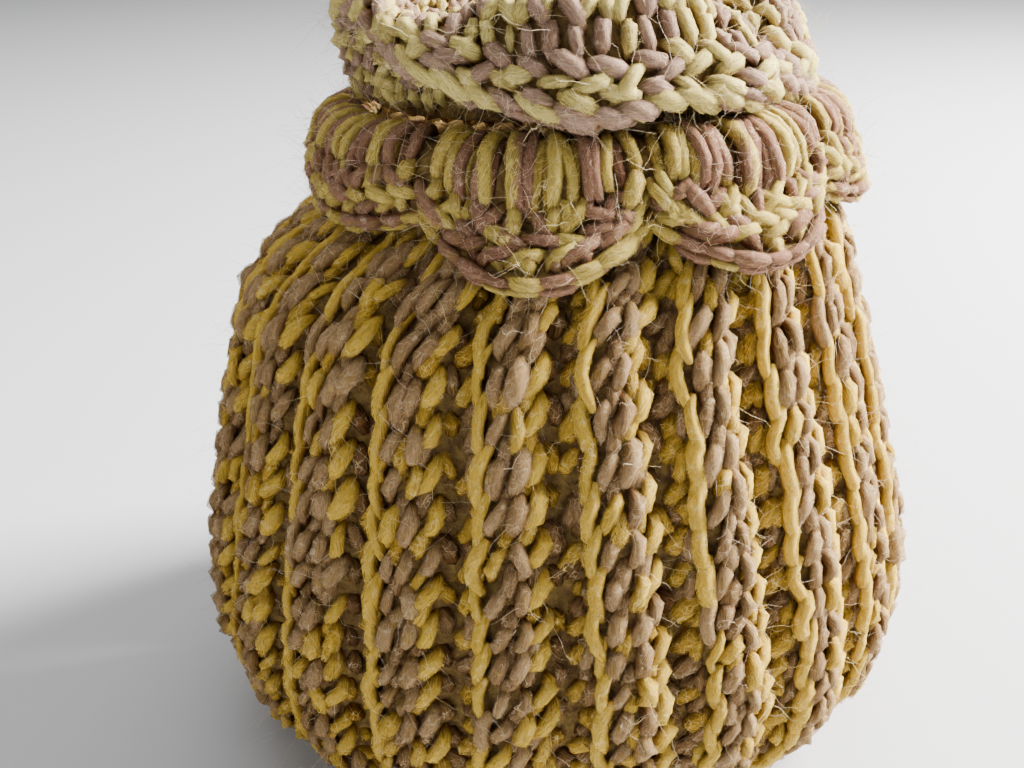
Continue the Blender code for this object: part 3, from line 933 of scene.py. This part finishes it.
def ruffle_stitches(strands):
    """Posts and heads on both sides of the frill and a thick chain along its rim."""
    edge = on_edge(ruffle_middle, RUFFLE_THICKNESS)
    for side in (1.0, -1.0):
        place = on_strip(ruffle_middle, RUFFLE_THICKNESS, side)
        for row in RUFFLE_ROWS:
            middle = (np.arange(row.count) + row.turn) * 360.0 / row.count
            start, end = (ruffle_share(middle, part) for part in (row.start, row.end))
            lay_strokes(
                strands, place, (middle - 0.5 * row.lean, start), (middle + 0.5 * row.lean, end),
                row.thick, row.lift, in_pairs(strands, row.count, row.mauve), row.shade,
            )
    middle = np.arange(RIM_STROKES) * 360.0 / RIM_STROKES
    # the rim's chain is drawn a little lighter by its shade: painted light
    for angle, turn, thick in ((52.0, 0.0, 1.40), (-12.0, 2.0, 1.30)):
        lay_strokes(strands, edge, (middle + turn - RIM_REACH, angle + 40.0),
                    (middle + turn + RIM_REACH, angle - 45.0), thick, -0.15,
                    in_pairs(strands, RIM_STROKES), 0.2, dive=0.7)


# Wool
def kept(making, name):
    """A value kept on the yarn, in a material."""
    return making.add("ShaderNodeAttribute", {"attribute_name": name}).outputs["Fac"]


def strand_axes(making, turns_a_metre):
    """Cosine and sine of the turn round a strand, twisted, and the length along it."""
    along = kept(making, "along")
    angle = making.math("ARCTAN2", kept(making, "side_y"), kept(making, "side_x"))
    turns = making.math("MULTIPLY", along, 2.0 * math.pi * turns_a_metre)
    turn = making.math("ADD", angle, turns)
    return making.math("COSINE", turn), making.math("SINE", turn), along


def object_noise(making, scale, detail, **more):
    """A noise fixed to the piece."""
    place = making.add("ShaderNodeTexCoord").outputs["Object"]
    return making.add("ShaderNodeTexNoise", Vector=place, Scale=scale, Detail=detail, **more)


def strand_noise(making, axes, round_scale, along_scale, detail):
    """A noise drawn out along the strand, other on each one."""
    cosine, sine, along = axes
    seed = making.math("MULTIPLY", kept(making, "seed"), 80.0)
    vector = making.add(
        "ShaderNodeCombineXYZ", X=making.math("MULTIPLY", cosine, round_scale),
        Y=making.math("MULTIPLY", sine, round_scale),
        Z=making.math("MULTIPLY_ADD", along, along_scale, seed),
    )
    return making.add("ShaderNodeTexNoise", Vector=vector.outputs[0], Scale=1.0, Detail=detail,
                      Roughness=0.7)


def fine_lines(making, colour, width):
    """Thin winding lines where any part of a noise passes through its middle."""
    parts = making.add("ShaderNodeSeparateColor", Color=colour)
    mask = 0.0
    for part in parts.outputs:
        off = making.math("ABSOLUTE", making.math("SUBTRACT", part, 0.5))
        line = making.math("MULTIPLY_ADD", off, -1.0 / width, 1.0, clamp=True)
        mask = making.math("MAXIMUM", line, mask)
    return mask


def group_tree(name, inputs, outputs):
    """An empty shader group with named inputs and outputs."""
    tree = bpy.data.node_groups.new(name, "ShaderNodeTree")
    for title, kind, default in inputs:
        tree.interface.new_socket(title, in_out="INPUT", socket_type=kind).default_value = default
    for title, kind in outputs:
        tree.interface.new_socket(title, in_out="OUTPUT", socket_type=kind)
    making = Tree(tree)
    return making, making.add("NodeGroupInput")


def mixed_colour(making, factor, first, second):
    node = making.add("ShaderNodeMix", {"data_type": "RGBA"})
    for number, value in ((0, factor), (6, first), (7, second)):
        making.feed(node, f"in {number}", value)
    return node.outputs[2]


TWO_WOOLS = (("Yellow", "NodeSocketColor", (*YELLOW, 1.0)),
             ("Mauve", "NodeSocketColor", (*MAUVE, 1.0)))
TURNS_A_METRE = 42.0                   # twist of the yarn
FIBRE_RELIEF = 0.0008
MATTED_RELIEF = 0.0025


def painted_shade_tint(making):
    """Painted shade: white on the strand's outward side, turning dark brown where it faces in
    between two strands, and darker still where its kept shade is low.
    """
    shade_facing_in = making.add("ShaderNodeMapRange", {"interpolation_type": "SMOOTHSTEP"},
                           Value=kept(making, "facing"), From_Min=-0.25, From_Max=0.9,
                           To_Min=0.9, To_Max=0.0)
    painted_shade_share = making.math("MULTIPLY_ADD", kept(making, "shade"), -0.25, shade_facing_in.outputs[0],
                       clamp=True)
    return mixed_colour(making, painted_shade_share, (1.0, 1.0, 1.0, 1.0), (*SHADE_BETWEEN_STRANDS, 1.0))


def times(making, first, second):
    """Product of two colours."""
    return making.vector("MULTIPLY", first, second)[0]


def wool_group():
    """Fibres, blended tone and painted shade of a strand, as a colour and a height."""
    making, source = group_tree("wool_fibres", (
        *TWO_WOOLS, ("Streaks", "NodeSocketFloat", 3.6), ("Blend", "NodeSocketFloat", 1.9),
    ), (("Colour", "NodeSocketColor"), ("Height", "NodeSocketFloat")))
    axes = strand_axes(making, TURNS_A_METRE)
    fibre = making.math("SUBTRACT", strand_noise(making, axes, 6.5, 420.0, 4.0).outputs[0], 0.5)
    clump = making.math("SUBTRACT", strand_noise(making, axes, 1.3, 260.0, 2.0).outputs[0], 0.5)
    tone = making.math("MULTIPLY_ADD", kept(making, "tone"), 0.76, 0.12)
    tone = making.math("MULTIPLY_ADD", clump, source.outputs["Blend"], tone)
    tone = making.math("MULTIPLY_ADD", fibre, 1.4, tone, clamp=True)
    mixed = mixed_colour(making, tone, source.outputs["Yellow"], source.outputs["Mauve"])
    light = making.math("MULTIPLY_ADD", fibre, source.outputs["Streaks"], 0.96)
    light = making.math("MULTIPLY_ADD", clump, 0.9, light)
    # the kept shade is painted shade where a strand dives in or lies low and painted light on the
    # raised lines, on top of random brightness
    light = making.math("MULTIPLY_ADD", kept(making, "shade"), 0.13, light)
    with_painted_shade = times(making, mixed, painted_shade_tint(making))
    colour = scaled(making, with_painted_shade, making.math("MAXIMUM", light, 0.12))
    height = making.math("MULTIPLY_ADD", clump, 1.6, fibre)
    making.add("NodeGroupOutput", Colour=colour, Height=height)
    return making.tree


def halo_group():
    """Loose fibres round a strand: their colour, and where they are as a mask."""
    making, source = group_tree("wool_halo", TWO_WOOLS, (
        ("Colour", "NodeSocketColor"), ("Mask", "NodeSocketFloat")))
    axes = strand_axes(making, -TURNS_A_METRE)
    lengthwise = strand_noise(making, axes, 2.2, 240.0, 1.0).outputs["Color"]
    across = object_noise(making, 300.0, 1.0)
    first = fine_lines(making, lengthwise, 0.048)
    second = fine_lines(making, across.outputs["Color"], 0.013)
    uneven = making.math("MULTIPLY_ADD", across.outputs[0], 2.4, -0.45, clamp=True)
    wools = mixed_colour(making, kept(making, "tone"), source.outputs["Yellow"],
                         source.outputs["Mauve"])
    with_painted_shade = times(making, wools, painted_shade_tint(making))
    # the crossing fibres are paler as painted highlights, and the haze takes the painted shade of
    # its strand
    fibre_highlight = mixed_colour(making, 0.30, wools, (*LOOSE_FIBRE_HIGHLIGHT, 1.0))
    colour = mixed_colour(making, second, with_painted_shade, fibre_highlight)
    haze = making.math("MULTIPLY_ADD", making.math("MULTIPLY", first, uneven), 0.55, 0.30)
    fading = making.math("MULTIPLY_ADD", kept(making, "facing"), 1.3, 0.05, clamp=True)
    fibres = making.math("MAXIMUM", haze, making.math("MULTIPLY", second, 0.75))
    mask = making.math("MULTIPLY", fibres, fading)
    making.add("NodeGroupOutput", Colour=colour, Mask=mask)
    return making.tree


def new_material(name, roughness, specular=0.5):
    """A material, its nodes under construction and its shader."""
    material = bpy.data.materials.new(name)
    material.use_nodes = True
    shader = material.node_tree.nodes["Principled BSDF"]
    shader.inputs["Roughness"].default_value = roughness
    shader.inputs["Specular IOR Level"].default_value = specular
    return material, Tree(material.node_tree), shader


def fibres_in(making, group, wools):
    """A group of fibres in a yellow and a mauve wool."""
    node = making.add("ShaderNodeGroup", {"node_tree": group})
    for title, wool in zip(("Yellow", "Mauve"), wools):
        node.inputs[title].default_value = (*wool, 1.0)
    return node.outputs


def raised(making, shader, height, distance):
    """Relief from a height."""
    bump = making.add("ShaderNodeBump", Strength=1.0, Distance=distance, Height=height)
    making.feed(shader, "Normal", bump.outputs[0])


def wool_material(name, group, wools):
    """Spun wool for the strands."""
    material, making, shader = new_material(name, 0.9, 0.08)
    fibres = fibres_in(making, group, wools)
    making.feed(shader, "Base Color", fibres["Colour"])
    raised(making, shader, fibres["Height"], FIBRE_RELIEF)
    return material


def halo_material(name, group, wools):
    """Fine loose fibres, clear between them."""
    material, making, shader = new_material(name, 0.9, 0.08)
    fibres = fibres_in(making, group, wools)
    making.feed(shader, "Base Color", fibres["Colour"])
    making.feed(shader, "Alpha", fibres["Mask"])
    return material


def cloth_material(name):
    """Cloth that shows between the strands: dark brown and mustard patches as painted shade in the
    gaps, with a matted relief.
    """
    material, making, shader = new_material(name, 0.95, 0.05)
    patches = object_noise(making, 420.0, 4.0).outputs[0]
    matted = object_noise(making, 1500.0, 4.0, Roughness=0.7).outputs[0]
    share = making.math("MULTIPLY_ADD", patches, 3.0, -1.0, clamp=True)
    making.feed(shader, "Base Color",
                mixed_colour(making, share, (*DEEP_BROWN, 1.0), (*MUSTARD, 1.0)))
    raised(making, shader, making.math("MULTIPLY_ADD", matted, 0.4, patches), MATTED_RELIEF)
    return material


def hair_material():
    """Loose hair in both wools, some of it pale at random as hairs that catch the light: painted
    highlight.
    """
    material, making, shader = new_material("loose_wool_hair", 0.6)
    tone = making.math("MULTIPLY_ADD", kept(making, "tone"), 0.8, -0.2)
    share = making.math("MULTIPLY_ADD", object_noise(making, 220.0, 2.0).outputs[0], 0.6, tone,
                        clamp=True)
    wools = mixed_colour(making, share, (*YELLOW_HAIR, 1.0), (*MAUVE_HAIR, 1.0))
    highlight_share = making.math("MULTIPLY_ADD", object_noise(making, 900.0, 1.0).outputs[0], 3.0, -1.3,
                         clamp=True)
    making.feed(shader, "Base Color", mixed_colour(making, highlight_share, wools, (*HAIR_HIGHLIGHT, 1.0)))
    return material


# Studio
FLOOR_RADIUS = 6.0
FLOOR_COLOUR = (0.46, 0.46, 0.465)
SKY_COLOUR = (0.96, 0.97, 1.0)
SKY_STRENGTH = 0.39
LIGHTS_AIM = (0.0, 0.0, 0.08)


def floor():
    builder = bmesh.new()
    bmesh.ops.create_circle(builder, cap_ends=True, segments=96, radius=FLOOR_RADIUS)
    mesh = bpy.data.meshes.new("floor")
    builder.to_mesh(mesh)
    builder.free()
    material, _, shader = new_material("pale_floor", 0.9)
    shader.inputs["Base Color"].default_value = (*FLOOR_COLOUR, 1.0)
    mesh.materials.append(material)
    obj = bpy.data.objects.new("floor", mesh)
    bpy.context.scene.collection.objects.link(obj)


def soft_light(name, place, size, power, colour):
    """A square light that faces the middle of the cosy."""
    lamp = bpy.data.lights.new(name, "AREA")
    lamp.size = size
    lamp.energy = power
    lamp.color = colour
    obj = bpy.data.objects.new(name, lamp)
    aim = Vector(LIGHTS_AIM) - Vector(place)
    obj.matrix_world = Matrix.Translation(place) @ aim.to_track_quat("-Z", "Y").to_matrix().to_4x4()
    bpy.context.scene.collection.objects.link(obj)


def studio():
    floor()
    soft_light("window", (0.93, 0.25, 0.66), 0.50, 150.0, (1.0, 0.99, 0.97))
    soft_light("fill", (-1.0, -1.3, 0.8), 2.0, 8.0, (1.0, 0.98, 0.94))
    soft_light("ceiling", (0.0, 1.1, 2.6), 3.0, 78.0, (0.97, 0.98, 1.0))
    world = bpy.data.worlds.new("studio")
    world.use_nodes = True
    background = world.node_tree.nodes["Background"]
    background.inputs["Color"].default_value = (*SKY_COLOUR, 1.0)
    background.inputs["Strength"].default_value = SKY_STRENGTH
    bpy.context.scene.world = world


# The photograph's camera: place, how far it looks down, turns to its right and rolls to its
# left, and its focal length in the photograph's pixels
CAMERA_PLACE = (-0.001, -0.2362, 0.1710)
CAMERA_DOWN = math.radians(23.3)
CAMERA_TURN = math.radians(-1.7)
CAMERA_ROLL = math.radians(-2.7)
PHOTO_WIDTH = 1024.0
FOCAL_PIXELS = 1150.0
SENSOR_WIDTH = 36.0


def camera():
    """The camera of the photograph, solved from the cosy's outline."""
    ahead = Vector((math.sin(CAMERA_TURN) * math.cos(CAMERA_DOWN),
                    math.cos(CAMERA_TURN) * math.cos(CAMERA_DOWN), -math.sin(CAMERA_DOWN)))
    right = Vector((math.cos(CAMERA_TURN), -math.sin(CAMERA_TURN), 0.0))
    above = right.cross(ahead)
    side = math.cos(CAMERA_ROLL) * right + math.sin(CAMERA_ROLL) * above
    top = -math.sin(CAMERA_ROLL) * right + math.cos(CAMERA_ROLL) * above
    lens = bpy.data.cameras.new("camera")
    lens.sensor_width = SENSOR_WIDTH
    lens.lens = SENSOR_WIDTH * FOCAL_PIXELS / PHOTO_WIDTH
    lens.clip_start = 0.01
    obj = bpy.data.objects.new("camera", lens)
    matrix = Matrix((side, top, -ahead)).transposed().to_4x4()
    matrix.translation = CAMERA_PLACE
    obj.matrix_world = matrix
    bpy.context.scene.collection.objects.link(obj)
    bpy.context.scene.camera = obj


# Pieces: a strip is its cloth and yarn on one of the two rows of crochet round the neck
Strip = namedtuple("Strip", "name node surface thickness stitches wools flat held seed")
STRIPS = (
    Strip("collar", "shell_collar", collar_middle, COLLAR_THICKNESS, collar_stitches,
          (SOFT_YELLOW, MAUVE), (0.36, 0.028), "folded", 31),
    Strip("ruffle", "top_ruffle", ruffle_middle, RUFFLE_THICKNESS, ruffle_stitches,
          (PALE_YELLOW, PALE_MAUVE), (0.34, 0.028), "gathered", 41),
)
COVER_WOOLS = (YELLOW, TAUPE)
FIBRES = {"Step": 0.0026, "Swell": 1.24, "Lumps": 0.9}
HAIR = {"Shortest": 0.003, "Thickness": 0.000028, "Curl": 0.008, "Curls_a_metre": 240.0,
        "Bends": 6, "Lean": 1.2}
COVER_HAIR = {**HAIR, "Density": 58000.0, "Longest": 0.009, "Seed": 9}
STRIP_HAIR = {**HAIR, "Density": 66000.0, "Longest": 0.010}


def belongs(pieces):
    """All pieces ride with the cosy."""
    for piece in pieces:
        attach(piece, "root")


def cover(spin, scatter, fibre_groups, hair):
    """The ribbed cover: cloth, three kinds of strands, their loose fibres and hair."""
    wool = wool_material("cover_yarn", fibre_groups[0], COVER_WOOLS)
    halo = halo_material("cover_fibres", fibre_groups[1], COVER_WOOLS)
    cloth = cover_cloth(cloth_material("cover_matted"))
    face, flank, lines = Strands(21), Strands(22), Strands(23)
    rib_strokes(face, FACE_STROKES)
    rib_strokes(flank, FLANK_STROKES, FLANK_POINTS)
    rib_strokes(lines, LINE_STROKES)
    slit_borders(lines)
    crown_pleats(lines)
    meshes = {title: strands.mesh(title) for title, strands in (
        ("face_stitches", face), ("flank_stitches", flank), ("rib_lines", lines))}
    yarns = [grow(f"cover_{title}", mesh, spin, Material=wool) for title, mesh in meshes.items()]
    loose = [grow(f"cover_{title}_fibres", mesh, spin, Material=halo, **FIBRES)
             for title, mesh in meshes.items()]
    loose.append(grow("cover_hair", yarns[0].data, scatter, Material=hair, **COVER_HAIR))
    belongs((cloth, *yarns, *loose))
    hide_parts("ribbed_cover")


def strip(row, spin, scatter, fibre_groups, hair):
    """A strip round the neck: cloth, strands, their loose fibres and hair."""
    wool = wool_material(row.name + "_yarn", fibre_groups[0], row.wools)
    halo = halo_material(row.name + "_fibres", fibre_groups[1], row.wools)
    cloth = strip_cloth(row.name + "_cloth", row.surface, row.thickness,
                        cloth_material(row.name + "_matted"))
    strands = Strands(row.seed)
    row.stitches(strands)
    mesh = strands.mesh(row.name)
    yarn = grow(row.name + "_stitches", mesh, spin, Material=wool)
    loose = grow(row.name + "_fibres", mesh, spin, Material=halo, **FIBRES)
    hairs = grow(row.name + "_hair", yarn.data, scatter, Seed=row.seed + 1, Material=hair,
                 **STRIP_HAIR)
    belongs((cloth, yarn, loose, hairs))
    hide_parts(row.node)


def main():
    camera()
    studio()
    tools = spinning_tree(), hair_tree(), (wool_group(), halo_group()), hair_material()
    cover(*tools)
    for row in STRIPS:
        strip(row, *tools)


main()
